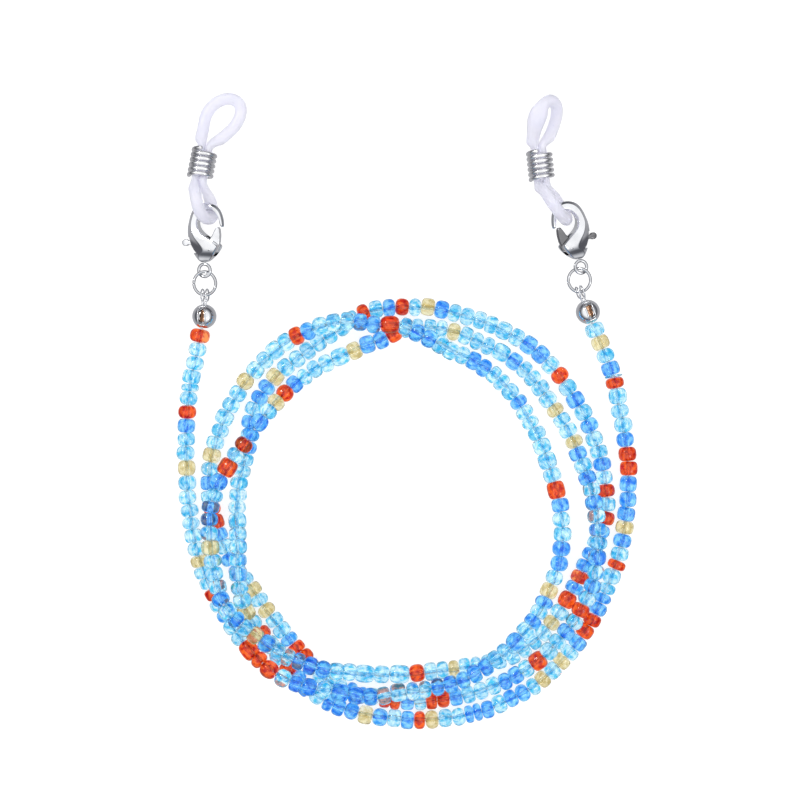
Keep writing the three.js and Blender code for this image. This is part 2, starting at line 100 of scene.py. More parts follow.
CORD_R, ARM_OFFSET = 0.975, 1.0
NECK_HALF, NECK_SQUEEZE, NECK_SWELL = 3.0, 0.64, 1.05
NECK_FADE_ABOVE, NECK_FADE_BELOW, NECK_INSET = 1.1, 2.2, 0.2
FLAT_AT, FLAT_REACH = 8.2, 2.6
LOOP_STEPS, LOOP_SIDES = 260, 24
GRIP_R, GRIP_WIRE_R, GRIP_PITCH, GRIP_TURNS = 1.78, 0.36, 0.83, 5.2
GRIP_STEPS_PER_TURN = 40

# The strand's route: degrees clockwise from +Y about the coil's middle, distance from it, height.
STRAND = [
    (315.7, 45.7, 1.95), (314.7, 45.0, 1.95), (311.4, 43.6, 1.5), (307, 41.8, 1.42),
    (301.4, 40.2, 1.42), (295, 38.4, 1.42), (288, 36.8, 1.42), (280, 35.5, 1.42),
    (270, 34.4, 1.42), (255, 33.7, 1.42), (240, 33.1, 1.42), (233, 33.0, 2.1),
    (227, 32.9, 3.3), (220, 32.7, 4.2), (213, 32.1, 4.4), (200, 30.3, 4.4),
    (190, 29.7, 4.4), (180, 28.5, 4.15), (168, 28.3, 3.9), (158, 28.1, 4.3),
    (150, 27.7, 4.4), (140, 27.2, 4.0), (128, 27.0, 3.0), (118, 26.7, 1.7),
    (108, 26.4, 1.42), (96, 25.8, 1.42), (80, 25.0, 1.42), (60, 25.0, 1.42),
    (42, 26.1, 1.42), (28, 26.9, 1.6), (16, 27.3, 2.9), (8, 28.4, 4.3), (0, 30.0, 4.4),
    (355, 30.3, 4.4), (350, 30.9, 4.1), (345, 31.8, 4.4), (340, 32.6, 4.3),
    (330, 33.2, 3.0), (324, 33.3, 2.2), (317, 33.3, 1.5), (308, 33.0, 1.42),
    (298, 32.6, 1.42), (285, 32.1, 1.42),
    (275, 31.3, 1.42), (270, 30.6, 1.42), (262, 29.7, 1.42), (255, 28.9, 1.42),
    (250, 28.1, 1.42), (244, 27.3, 1.42), (236, 27.0, 1.42), (226, 27.2, 1.42),
    (218, 27.7, 1.42), (208, 29.2, 1.42), (198, 30.0, 1.42), (180, 30.3, 1.42),
    (165, 30.8, 1.42), (152, 31.5, 1.6), (140, 32.0, 2.5), (130, 32.2, 3.1),
    (120, 32.4, 3.4), (110, 32.3, 3.9), (100, 31.6, 4.5), (90, 30.8, 4.0),
    (80, 30.2, 3.0), (72, 29.8, 1.8), (64, 29.7, 1.42), (40, 30.2, 1.42),
    (20, 30.3, 1.42), (8, 30.2, 1.42), (0, 29.6, 1.42),
    (355, 28.5, 1.42), (345, 27.5, 1.42), (330, 27.2, 1.42), (320, 27.1, 1.42),
    (313, 27.1, 2.5), (306, 27.1, 3.8), (298, 27.4, 4.4), (290, 28.3, 4.3),
    (280, 29.8, 4.15), (270, 30.9, 4.4), (260, 31.3, 4.2), (250, 31.7, 4.6),
    (244, 32.0, 5.7), (238, 31.5, 5.6), (230, 30.4, 4.9), (220, 29.5, 4.4),
    (213, 28.6, 4.7), (207, 27.8, 4.5), (201, 27.1, 3.4), (194, 26.6, 1.9),
    (186, 26.2, 1.42), (176, 26.0, 1.42), (167, 26.1, 1.42), (158, 26.8, 1.42),
    (150, 27.9, 1.42), (142, 29.0, 1.42), (130, 29.7, 1.42), (115, 30.1, 1.42),
    (106, 30.5, 1.42), (98, 31.6, 1.42), (90, 32.7, 1.42), (75, 33.0, 1.42),
    (60, 33.2, 1.42), (45, 33.7, 1.42), (30, 33.7, 1.42), (10, 33.4, 1.42), (0, 33.2, 1.42),
    (355, 33.2, 1.42), (348, 32.7, 1.42), (340, 31.4, 1.42), (330, 30.4, 1.42),
    (318, 30.1, 1.42), (308, 29.7, 1.42), (300, 28.5, 1.42), (292, 27.1, 1.42),
    (280, 26.8, 1.42), (270, 26.7, 1.5), (264, 26.7, 2.8), (258, 27.0, 4.3),
    (250, 28.0, 4.7), (244, 28.9, 4.3), (239, 29.6, 3.2), (234, 29.9, 1.9), (228, 30.1, 1.42),
    (220, 30.7, 1.42), (213, 31.6, 1.42), (205, 32.6, 1.42), (195, 33.0, 1.42),
    (180, 33.3, 1.42), (168, 33.8, 1.42), (155, 34.5, 1.42), (140, 35.0, 1.42),
    (125, 35.0, 1.42), (112, 35.0, 1.42), (100, 35.5, 1.42), (88, 36.2, 1.42),
    (76, 37.3, 1.42), (64, 38.8, 1.42), (56, 40.6, 1.42), (50, 41.8, 1.42),
    (46.3, 42.7, 1.5), (42.4, 44.1, 1.95), (41.3, 44.6, 1.95),
]

# Bead colours by turn of the coil: each string starts at its angle and fills the way to the next.
# c b r g = cyan, blue, red, gold; a capital is a long bead; y x z are short cyan, blue and red.
BEAD_ORDER = [
    [(303, "c"), (299.8, "crbccgccc"), (269, "cccgccrcb"), (238.5, "ccRzRcb"),
     (211, "bcBbbcc"), (179.5, "ccbbbbb"), (149.8, "ccBcbcb"), (120.5, "gcbbcc"),
     (89.8, "bRcCc"), (62, "cccbCcc"), (31.8, "bbcccbbc")],
    [(359, "Rbbcccb"), (330.8, "rccccgcc"), (300.5, "cccgcbcr"), (269.5, "rbcbbcg"),
     (241, "cgccbrrb"), (209, "cccbbcrr"), (180.8, "bcrrbccc"), (150.5, "bbcRccbc"),
     (120.5, "rcbcbccc"), (89, "bcbcbgcc"), (58.5, "gccccbC"), (29, "cccgcccc")],
    [(359, "rbbgCc"), (331, "ccbRgcB"), (300, "brcRBcb"), (270.5, "bcgcccbc"),
     (239.5, "bcgBccbb"), (209.5, "bccCcC"), (178, "Rccgccc"), (149, "cccccgc"),
     (120.5, "Rbrbbcbr"), (89.5, "crcbccbc"), (58.8, "bcrcbbcc"), (27.5, "ccccbgcr")],
    [(358, "bcrccccc"), (328, "ccgbbcb"), (299, "cbccccc"), (269.8, "ccccccc"),
     (240, "gcrccrb"), (211, "bcxbbgbc"), (181, "brgccxxbcb"), (148.3, "bcgcgcbrr"),
     (118, "bxyczcbgb"), (88.8, "bbrrbcccz"), (57.5, "C")],
]
SHORT = dict(zip("yxz", "cbr"))
COLOUR_NAMES = {"c": "cyan", "b": "blue", "r": "red", "g": "gold"}
END_BEADS = {"left": "rccc", "right": "cgcb"}

# The pieces at each end: where each one is, then its heading, pitch and roll in degrees. Spine is
# the side of the clasp's back. The eye and the tail are points along the silicone, above and below
# the neck, and flattened says how much wider the eye's first arm lies in plan.
ENDS = [
    {
        "side": "left", "spine": -1,
        "tip": ((-31.9, 15.08, 1.95), -1, -4, -11),
        "ring": ((-31.85, 20.4, 1.7), 0, 0, 27),
        "clasp": ((-31.9, 22.5, 1.76), 2.2, 4.5, -18),
        "grip": ((-32.18, 39.6, 2.3), -10, -6, 0),
        "eye": [(-32.2, 45.2, 1.3), (-31.6, 47.8, 1.0), (-30.2, 49.5, 1.0), (-28.0, 50.25, 1.0),
                (-26.5, 49.6, 1.0), (-26.1, 48.2, 1.0), (-26.9, 46.1, 1.0), (-28.6, 44.3, 1.3)],
        "tail": [(-31.3, 34.9, 1.45), (-30.9, 33.3, 1.0), (-30.65, 31.9, 1.1), (-30.8, 30.9, 2.2),
                 (-31.5, 30.75, 3.7), (-32.3, 31.6, 4.6), (-32.8, 33.1, 4.6), (-33.2, 34.9, 3.9)],
        "flattened": 0.0,
    },
    {
        "side": "right", "spine": 1,
        "tip": ((29.85, 15.8, 1.95), 21, -4, 8),
        "ring": ((28.5, 20.92, 1.7), 7, 0, -25),
        "clasp": ((28.75, 23.05, 1.76), 10.4, 4.5, 18),
        "grip": ((22.18, 39.35, 2.25), 6, 0, 0),
        "eye": [(21.0, 44.2, 3.3), (21.4, 46.3, 4.7), (22.2, 48.3, 5.3), (23.5, 49.4, 4.7),
                (24.6, 48.9, 3.2), (24.8, 47.4, 1.9), (24.4, 45.8, 1.2), (23.8, 44.3, 1.3)],
        "tail": [(24.0, 35.2, 1.4), (25.1, 33.4, 1.0), (26.0, 32.0, 1.0), (26.4, 30.85, 1.9),
                 (26.05, 30.55, 3.9), (25.0, 31.4, 5.45), (23.8, 33.1, 5.3), (22.6, 35.2, 3.9)],
        "flattened": 0.7,
    },
]


# ---- Curves ----

def catmull(keys, closed=False, per_span=24):
    """Points along the centripetal Catmull-Rom curve through keys."""
    keys = [Vector(k) for k in keys]
    if closed:
        padded = [keys[-1]] + keys + keys[:2]
    else:
        padded = [keys[0] * 2 - keys[1]] + keys + [keys[-1] * 2 - keys[-2]]
    points = []
    for p0, p1, p2, p3 in zip(padded, padded[1:], padded[2:], padded[3:]):
        d0, d1, d2 = [math.sqrt((b - a).length) for a, b in ((p0, p1), (p1, p2), (p2, p3))]
        m1 = ((p1 - p0) / d0 - (p2 - p0) / (d0 + d1) + (p2 - p1) / d1) * d1
        m2 = ((p2 - p1) / d1 - (p3 - p1) / (d1 + d2) + (p3 - p2) / d2) * d1
        for i in range(per_span):
            t = i / per_span
            points.append(p1 + m1 * t + (p2 * 3 - p1 * 3 - m1 * 2 - m2) * t**2
                          + (p1 * 2 - p2 * 2 + m1 + m2) * t**3)
    if not closed:
        points.append(keys[-1])
    return points


class Route:
    """A polyline measured along its length."""

    def __init__(self, points):
        self.points = points
        self.at = [0.0]
        for a, b in zip(points, points[1:]):
            self.at.append(self.at[-1] + (b - a).length)
        self.length = self.at[-1]

    def point(self, s):
        s = min(max(s, 0.0), self.length)
        low, high = 0, len(self.at) - 1
        while high - low > 1:
            middle = (low + high) // 2
            low, high = (middle, high) if self.at[middle] <= s else (low, middle)
        share = (s - self.at[low]) / (self.at[high] - self.at[low])
        return self.points[low].lerp(self.points[high], share)

    def tangent(self, s):
        return (self.point(s + TANGENT_REACH) - self.point(s - TANGENT_REACH)).normalized()


def strand_point(angle, radius, height):
    a = math.radians(angle)
    return COIL_CENTRE[0] + radius * math.sin(a), COIL_CENTRE[1] + radius * math.cos(a), height


strand = Route(catmull([strand_point(*key) for key in STRAND]))
runs_start = END_BEAD_START + END_BEAD_COUNT * END_BEAD_PITCH
runs_end = strand.length - runs_start
run_length = (runs_end - runs_start) / RUN_COUNT


def placed(place):
    """The frame of a piece from its point, heading, pitch and roll in degrees."""
    at, heading, pitch, roll = place
    turn = (Matrix.Rotation(math.radians(heading), 4, "Z")
            @ Matrix.Rotation(math.radians(pitch), 4, "X")
            @ Matrix.Rotation(math.radians(roll), 4, "Y"))
    return Matrix.Translation(at) @ turn


# ---- Shapes: each is (vertices, faces, uv per face corner or None), in its own millimetres ----

# The rings of a tube's domed end, as shares of its radius: how wide, and how far out.
DOME = [(0.97, 0.35), (0.8, 0.68), (0.5, 0.9), (0.12, 1.0)]


def tube(points, radius, sides=16, closed=False, squash=1.0):
    """A round tube along points, squashed one way if asked; open ends are domed."""
    points = [Vector(p) for p in points]
    count = len(points)
    tangents = []
    for i in range(count):
        before, after = points[i - 1], points[(i + 1) % count]
        if not closed:
            before, after = points[max(i - 1, 0)], points[min(i + 1, count - 1)]
        tangents.append((after - before).normalized())
    normal = tangents[0].orthogonal().normalized()
    normals = [normal]
    for a, b in zip(tangents, tangents[1:]):
        normal = (a.rotation_difference(b) @ normal).normalized()
        normals.append(normal)
    twist = 0.0
    if closed:
        back = (tangents[-1].rotation_difference(tangents[0]) @ normals[-1]).normalized()
        side = tangents[0].cross(normals[0])
        twist = -math.atan2(back.dot(side), back.dot(normals[0]))
    stations = [(p, t, n, radius) for p, t, n in zip(points, tangents, normals)]
    if not closed:
        first = [(points[0] - tangents[0] * radius * out, tangents[0], normals[0], radius * wide)
                 for wide, out in reversed(DOME)]
        last = [(points[-1] + tangents[-1] * radius * out, tangents[-1], normals[-1], radius * wide)
                for wide, out in DOME]
        stations = first + stations + last
    verts, faces = [], []
    for i, (p, t, n, r) in enumerate(stations):
        n = Matrix.Rotation(twist * i / len(stations), 3, t) @ n
        side = t.cross(n)
        for j in range(sides):
            a = 2 * math.pi * j / sides
            verts.append(p + (n * math.cos(a) + side * math.sin(a) * squash) * r)
    rows = len(stations)
    for i in range(rows if closed else rows - 1):
        for j in range(sides):
            k, i2 = (j + 1) % sides, (i + 1) % rows
            faces.append((i * sides + j, i * sides + k, i2 * sides + k, i2 * sides + j))
    if not closed:
        faces.append(tuple(range(sides))[::-1])
        faces.append(tuple((rows - 1) * sides + j for j in range(sides)))
    return verts, faces, None


def lathe(profile, sides, ripple=None):
    """A closed profile of (radius, y) turned about Y. ripple(angle, y) scales the radius."""
    verts, faces, uvs = [], [], []
    count = len(profile)
    for j in range(sides):
        a = 2 * math.pi * j / sides
        for radius, y in profile:
            r = radius * (ripple(a, y) if ripple else 1.0)
            verts.append(Vector((r * math.sin(a), y, r * math.cos(a))))
    for j in range(sides):
        k = (j + 1) % sides
        for i in range(count):
            m = (i + 1) % count
            faces.append((j * count + i, k * count + i, k * count + m, j * count + m))
            u0, u1 = j / sides, (j + 1) / sides
            v0, v1 = profile[i][1], profile[m][1]
            uvs.append(((u0, v0), (u1, v0), (u1, v1), (u0, v1)))
    return verts, faces, uvs


def merged(shapes):
    """Several shapes as one."""
    verts, faces, uvs = [], [], []
    for v, f, u in shapes:
        base = len(verts)
        verts += v
        faces += [tuple(base + i for i in face) for face in f]
        uvs += u or [tuple((0.0, 0.0) for _ in face) for face in f]
    return verts, faces, uvs


def moved(shape, matrix):
    """A shape under a matrix; a mirroring one turns the faces over, so that they still face out."""
    verts, faces, uvs = shape
    verts = [matrix @ Vector(v) for v in verts]
    if matrix.determinant() < 0:
        faces = [tuple(reversed(f)) for f in faces]
        uvs = [tuple(reversed(u)) for u in uvs] if uvs else uvs
    return verts, faces, uvs


def prism(outline, low, high):
    """An outline in XY as a plate from low to high."""
    count = len(outline)
    verts = [Vector((x, y, z)) for z in (low, high) for x, y in outline]
    faces = [(i, (i + 1) % count, count + (i + 1) % count, count + i) for i in range(count)]
    faces += [tuple(reversed(range(count))), tuple(range(count, 2 * count))]
    return verts, faces, None


def outward(shape):
    """The shape with its faces turned outwards, from the sign of its volume."""
    verts, faces, uvs = shape
    volume = 0.0
    for face in faces:
        for a, b in zip(face[1:], face[2:]):
            volume += verts[face[0]].dot(verts[a].cross(verts[b]))
    if volume < 0:
        faces = [tuple(reversed(f)) for f in faces]
    return verts, faces, uvs


# ---- Objects ----

def linked(name, data):
    """A new object in the scene."""
    made = bpy.data.objects.new(name, data)
    bpy.context.scene.collection.objects.link(made)
    return made


def stand_for(piece, node):
    """Lets a piece ride where its CAD node rides, and stand for it."""
    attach(piece, frame["nodes"][node]["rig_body"])
    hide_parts(node)


def build(name, shape, material, node):
    """A smooth-shaded piece from a shape, standing for a CAD node."""
    verts, faces, uvs = moved(shape, LAID)
    mesh = bpy.data.meshes.new(name)
    mesh.from_pydata(verts, [], faces)
    if uvs:
        layer = mesh.uv_layers.new(name="lathe")
        for polygon, corners in zip(mesh.polygons, uvs):
            for index, uv in zip(polygon.loop_indices, corners):
                layer.data[index].uv = uv
    mesh.materials.append(material)
    mesh.polygons.foreach_set("use_smooth", [True] * len(mesh.polygons))
    mesh.update()
    piece = linked(name, mesh)
    stand_for(piece, node)
    return piece


def apply_modifiers(piece):
    """Bakes a piece's modifiers into its mesh."""
    graph = bpy.context.evaluated_depsgraph_get()
    evaluated = piece.evaluated_get(graph)
    mesh = bpy.data.meshes.new_from_object(evaluated)
    piece.modifiers.clear()
    piece.data = mesh


def cut_away(piece, shape, matrix):
    """Cuts a shape, placed by a matrix, out of a piece after its other modifiers."""
    verts, faces, _ = moved(shape, matrix)
    mesh = bpy.data.meshes.new("cutter")
    mesh.from_pydata(verts, [], faces)
    cutter = linked("cutter", mesh)
    cut = piece.modifiers.new("cut", "BOOLEAN")
    cut.object, cut.operation, cut.solver = cutter, "DIFFERENCE", "EXACT"
    apply_modifiers(piece)
    bpy.data.objects.remove(cutter)


# ---- Materials ----

def set_stops(color_ramp, stops):
    """Fills a new colour ramp with (position, colour) stops."""
    while len(color_ramp.elements) < len(stops):
        color_ramp.elements.new(0.5)
    for element, (position, colour) in zip(color_ramp.elements, stops):
        element.position = position
        element.color = (*colour, 1.0)


class Finish:
    """A procedural material and short ways to add nodes to it."""

    def __init__(self, name, **sockets):
        self.material = bpy.data.materials.new(name)
        self.material.use_nodes = True
        self.tree = self.material.node_tree
        self.shader = self.tree.nodes["Principled BSDF"]
        self.put(self.shader, sockets)

    def put(self, node, sockets):
        for key, value in sockets.items():
            socket = node.inputs[key.replace("_", " ")]
            if isinstance(value, bpy.types.NodeSocket):
                self.tree.links.new(value, socket)
            else:
                socket.default_value = value

    def node(self, kind, sockets=None, **settings):
        node = self.tree.nodes.new(kind)
        for key, value in settings.items():
            setattr(node, key, value)
        self.put(node, sockets or {})
        return node

    def place(self, scale, uv=None):
        """Coordinates scaled per axis, from the object or from a UV map."""
        if uv:
            source = self.node("ShaderNodeUVMap", uv_map=uv).outputs["UV"]
        else:
            source = self.node("ShaderNodeTexCoord").outputs["Object"]
        mapping = self.node("ShaderNodeMapping", {"Vector": source, "Scale": scale})
        return mapping.outputs["Vector"]

    def noise(self, where, scale, detail=2.0):
        texture = self.node("ShaderNodeTexNoise",
                            {"Vector": where, "Scale": scale, "Detail": detail})
        return texture.outputs["Fac"]

    def ramp(self, value, *stops):
        ramp = self.node("ShaderNodeValToRGB", {"Fac": value})
        set_stops(ramp.color_ramp, stops)
        return ramp.outputs["Color"]

    def span(self, value, low, high):
        """A 0 to 1 value spread over low to high."""
        node = self.node("ShaderNodeMapRange", {"Value": value, "To Min": low, "To Max": high})
        return node.outputs["Result"]

    def bump(self, height, strength, distance):
        node = self.node("ShaderNodeBump",
                         {"Height": height, "Strength": strength, "Distance": distance})
        self.put(self.shader, {"Normal": node.outputs["Normal"]})


def glass(name, deep, pale, transmission, painted_glow):
    """Pressed seed-bead glass: fine streaks along the bore, a slightly uneven skin, and a painted
    glow in the bead's colour that lifts the shade inside the glass.
    """
    # The emission strength is painted light: a glow that brightens the shaded insides of the beads.
    f = Finish(name, Transmission_Weight=transmission, IOR=1.48, Emission_Strength=painted_glow)
    streaks = f.noise(f.place((4.0, 0.35, 1.0), uv="lathe"), 3.0, 3.0)
    colour = f.ramp(streaks, (0.4, deep), (0.58, pale))
    f.put(f.shader, {"Base Color": colour, "Emission Color": colour})
    skin = f.noise(f.place((1000.0, 1000.0, 1000.0)), 1.4, 3.0)
    f.put(f.shader, {"Roughness": f.span(skin, 0.02, 0.14)})
    f.bump(streaks, 0.6, 0.00014)
    return f.material


def bright_metal(name, colour, low, high, painted_glow=0.0):
    """Plated metal: faint polishing marks and slight waves in the plating, and a painted glow where
    one is asked for.
    """
    # The emission is painted light: a glow in the metal's colour, for a piece that lies in shade.
    f = Finish(name, Metallic=1.0, Emission_Color=(*colour, 1.0), Emission_Strength=painted_glow)
    marks = f.noise(f.place((2600.0, 700.0, 2600.0)), 1.0, 4.0)
    waves = f.noise(f.place((420.0, 420.0, 420.0)), 1.0, 2.0)
    dull = tuple(c * 0.86 for c in colour)
    f.put(f.shader, {"Base Color": f.ramp(waves, (0.35, dull), (0.6, colour)),
                     "Roughness": f.span(marks, low, high)})
    f.bump(waves, 0.12, 0.00005)
    return f.material


def silicone_finish():
    """Moulded clear silicone: cloudy, faintly lavender, with a soft skin and a faint painted
    lavender glow.
    """
    # The emission is painted light: a faint lavender glow over the whole cord.
    f = Finish("moulded_silicone", IOR=1.41, Transmission_Weight=0.38, Subsurface_Weight=0.4,
               Subsurface_Scale=0.0012, Subsurface_Radius=(1.0, 0.95, 1.0),
               Emission_Color=(0.88, 0.88, 1.0, 1.0), Emission_Strength=0.06)
    cloud = f.noise(f.place((260.0, 260.0, 260.0)), 1.0, 3.0)
    grain = f.noise(f.place((3000.0, 3000.0, 3000.0)), 1.0, 2.0)
    colour = f.ramp(cloud, (0.3, (0.84, 0.84, 0.95)), (0.7, (0.9, 0.89, 0.96)))
    f.put(f.shader, {"Base Color": colour, "Roughness": f.span(grain, 0.24, 0.38)})
    f.bump(grain, 0.08, 0.00004)
    return f.material


def thread_finish():
    """Twisted nylon thread, with a painted bluish glow that lightens it where it lies shaded inside
    the beads.
    """
    # The emission is painted light, lifting the dark line the thread makes inside the glass.
    f = Finish("nylon_thread", Roughness=0.55, Emission_Color=(0.8, 0.9, 1.0, 1.0),
               Emission_Strength=0.25)
    twist = f.noise(f.place((5000.0, 5000.0, 5000.0)), 1.0, 3.0)
    colour = f.ramp(twist, (0.35, (0.5, 0.55, 0.6)), (0.65, (0.8, 0.84, 0.88)))
    f.put(f.shader, {"Base Color": colour})
    f.bump(twist, 0.4, 0.00004)
    return f.material


def floor_finish():
    """White sweep of matt card, lit a little from below."""
    f = Finish("white_card", Emission_Color=(1.0, 1.0, 1.0, 1.0), Emission_Strength=0.8)
    fibre = f.noise(f.place((900.0, 900.0, 900.0)), 1.0, 4.0)
    colour = f.ramp(fibre, (0.3, (0.38, 0.38, 0.38)), (0.7, (0.44, 0.44, 0.44)))
    f.put(f.shader, {"Base Color": colour, "Roughness": f.span(fibre, 0.7, 0.9)})
    return f.material


# The last number of each glass is its painted glow, painted light that lifts the shade inside the
# beads.
GLASS = {
    "c": glass("glass_cyan_beads", (0.02, 0.44, 0.78), (0.74, 0.96, 1.0), 0.92, 0.07),
    "b": glass("glass_blue_beads", (0.01, 0.21, 0.82), (0.32, 0.76, 1.0), 0.9, 0.07),
    "r": glass("glass_red_beads", (0.42, 0.004, 0.003), (1.0, 0.17, 0.02), 0.86, 0.1),
    "g": glass("glass_gold_beads", (0.6, 0.49, 0.2), (0.93, 0.87, 0.6), 0.88, 0.05),
}
METAL = bright_metal("plated_metal", (0.88, 0.89, 0.91), 0.04, 0.12)
RING_WIRE = bright_metal("ring_wire", (0.66, 0.67, 0.69), 0.04, 0.12)
COIL_WIRE = bright_metal("coil_wire", (0.95, 0.95, 0.96), 0.16, 0.28)
# A dark copy of the plated metal: painted shade for the right clasp's lever.
SHADED_GATE_METAL = bright_metal("gate_plate_painted_shade", (0.24, 0.24, 0.25), 0.1, 0.22)
STEEL = bright_metal("spring_steel", (0.7, 0.7, 0.72), 0.15, 0.3)
# The copper crimp has a painted glow: painted light that shows it inside the shaded ball of the
# tip.
COPPER = bright_metal("copper_crimp", (0.66, 0.4, 0.25), 0.2, 0.35, painted_glow=0.14)
SILICONE = silicone_finish()
THREAD = thread_finish()


# ---- Camera, in metres ----

def add_camera():
    data = bpy.data.cameras.new("overhead")
    data.lens = 85.0
    data.sensor_width = 36.0
    camera = linked("overhead", data)
    camera.location = (-0.00114, 0.00168, 0.3061)
    bpy.context.scene.camera = camera


# ---- Thread ----

def add_thread():
    count = int(strand.length / THREAD_STEP)
    points = [LAID @ strand.point(strand.length * i / count) for i in range(count + 1)]
    curve = bpy.data.curves.new("thread_strand", "CURVE")
    curve.dimensions = "3D"
    curve.bevel_depth = THREAD_R * MM
    curve.bevel_resolution = 2
    curve.use_fill_caps = True
    spline = curve.splines.new("POLY")
    spline.points.add(count)
    for target, point in zip(spline.points, points):
        target.co = (*point, 1.0)
    curve.materials.append(THREAD)
    piece = linked("thread_strand", curve)
    stand_for(piece, "stringing_thread")


# ---- Beads ----

def bead_shape(length, radius, fullness, ribs=0.0):
    """A pressed glass bead about Y: fullness 2 is round, 4 is nearly a cylinder."""
    half = length / 2
    outer = []
    for i in range(BEAD_STEPS + 1):
        a = math.pi * i / BEAD_STEPS - math.pi / 2
        y = math.copysign(abs(math.sin(a)) ** (2 / fullness), a)
        r = abs(math.cos(a)) ** (2 / fullness)
        outer.append((BEAD_HOLE_R + BEAD_LIP + (radius - BEAD_HOLE_R - BEAD_LIP) * r, y * half))
    bore = [(BEAD_HOLE_R, half - BORE_INSET), (BEAD_HOLE_R, half / 3), (BEAD_HOLE_R, -half / 3),
            (BEAD_HOLE_R, -half + BORE_INSET)]
    phase, waves = random.uniform(0, 6.28), random.choice((3, 5, 7))

    def ripple(angle, y):
        uneven = 1 + OVALNESS * math.sin(2 * angle + phase)
        if ribs:
            return uneven * (1 - ribs * (1 - abs(math.cos(RIB_COUNT / 2 * angle))))
        return uneven * (1 + WAVINESS * math.sin(waves * angle + phase * 2))

    verts, faces, uvs = lathe(outer + bore, RIBBED_SIDES if ribs else BEAD_SIDES, ripple)
    shift = random.uniform(0, 50)
    uvs = [tuple((u + shift, v + shift * 3) for u, v in corners) for corners in uvs]
    return verts, faces, uvs


def from_end(side, distance):
    """The length along the strand at a distance from its left or right end."""
    return distance if side == "left" else strand.length - distance


def along_strand(s):
    """The frame at s along the strand, with Y along it."""
    turn = Vector((0, 1, 0)).rotation_difference(strand.tangent(s)).to_matrix().to_4x4()
    return Matrix.Translation(strand.point(s)) @ turn


def bead_on_strand(s, length, radius=None, ribs=0.0, loose=1.0):
    """A bead threaded at s along the strand, a little tilted and off centre."""
    radius = radius or BEAD_R * random.uniform(THINNEST, THICKEST)
    shape = bead_shape(length, radius, random.uniform(ROUNDEST, SQUAREST), ribs)
    tilt = (Matrix.Rotation(math.radians(random.uniform(-TILT, TILT)) * loose, 4, "X")
            @ Matrix.Rotation(math.radians(random.uniform(-LEAN, LEAN)) * loose, 4, "Z")
            @ Matrix.Rotation(random.uniform(0, 6.28), 4, "Y"))
    shift = Matrix.Translation((random.uniform(-OFF_CENTRE, OFF_CENTRE) * loose, 0, 0))
    return moved(shape, along_strand(s) @ shift @ tilt)


def turn_angles():
    """The angle round the coil at each point of the strand, falling on through all its turns."""
    angles = []
    for p in strand.points:
        a = math.degrees(math.atan2(p.x - COIL_CENTRE[0], p.y - COIL_CENTRE[1])) % 360
        while angles and a > angles[-1] + 90:
            a -= 360
        angles.append(a)
    return angles


def add_beads():
    """The beads of the coil, one piece for each colour in each CAD sleeve."""
    angles = turn_angles()

    def station(turn, angle):
        target = angle - 360 * turn
        if turn == 0:
            return next(s for s, a in zip(strand.at, angles) if a <= target)
        return next((s for s, a in zip(strand.at, angles) if a <= target), runs_end)

    words = [(station(turn, angle), word)
             for turn, row in enumerate(BEAD_ORDER) for angle, word in row]
    words[0] = (runs_start, words[0][1])
    ends = [s for s, _ in words[1:]] + [runs_end]
    groups = {}
    for (start, word), end in zip(words, ends):
        weights = []
        for letter in word:
            size = LONG_BEAD if letter.isupper() else SHORT_BEAD if letter in SHORT else 1.0
            weights.append(size * random.uniform(0.9, 1.1))
        s = start
        for letter, weight in zip(word, weights):
            length = (end - start) * weight / sum(weights)
            colour = SHORT.get(letter, letter.lower())
            run = min(max(int((s + length / 2 - runs_start) / run_length), 0), RUN_COUNT - 1)
            bead = bead_on_strand(s + length / 2, length - BEAD_GAP)
            groups.setdefault((run, colour), []).append(bead)
            s += length
    for (run, colour), beads in sorted(groups.items()):
        name = COLOUR_NAMES[colour]
        build(f"beads_{name}_run_{run + 1:02d}", merged(beads), GLASS[colour],
              f"bead_run_{run + 1:02d}")


def add_end_beads(side):
    for i, colour in enumerate(END_BEADS[side]):
        s = from_end(side, END_BEAD_START + (i + 0.5) * END_BEAD_PITCH)
        ribs = RIB_DEPTH if side == "right" and i == 0 else 0.0
        radius = BEAD_R * (FIRST_END_BEAD if i == 0 else 1.0)
        bead = bead_on_strand(s, END_BEAD_PITCH - END_BEAD_GAP, radius, ribs, END_BEAD_LOOSENESS)
        name = f"{side}_end_bead_{i + 1}"
        build(f"{name}_{COLOUR_NAMES[colour]}", bead, GLASS[colour], name)


# ---- Bead tip and crimp ----

CRIMP_PROFILE = [
    (0.4, -0.85), (0.58, -0.85), (0.68, -0.7), (0.74, -0.45), (0.6, -0.12), (0.48, 0.0),
    (0.6, 0.12), (0.74, 0.45), (0.68, 0.7), (0.58, 0.85), (0.4, 0.85), (0.38, 0.0),
]


def dome_point(radius, x, y):
    return Vector((x, y, math.sqrt(max(radius**2 - x**2 - y**2, 0.0))))


def slot_outline(steps=24):
    """The lengthwise slot in the tip's top: an oblong with rounded corners."""
    middle, reach = (SLOT_HIGH + SLOT_LOW) / 2, (SLOT_HIGH - SLOT_LOW) / 2
    path = []
    for i in range(steps):
        a = 2 * math.pi * i / steps
        x = SLOT_HALF * max(min(1.5 * math.cos(a), 1), -1)
        path.append((x, middle + reach * max(min(1.15 * math.sin(a), 1), -1)))
    return path


def tip_prong(x):
    """A wire from the ball, bent round the jump ring."""
    centre = Vector((x, PRONG_HOOK_Y, 0))
    hook = [Vector((x * 0.8, 1.75, 0.1)), Vector((x * 0.85, 2.1, 0.16))]
    for i in range(19):
        a = math.radians(-150 + i * 320 / 18)
        hook.append(centre + Vector((0, PRONG_HOOK_R * math.cos(a), -PRONG_HOOK_R * math.sin(a))))
    return tube(catmull(hook, per_span=3), PRONG_WIRE_R, 10, squash=0.85)


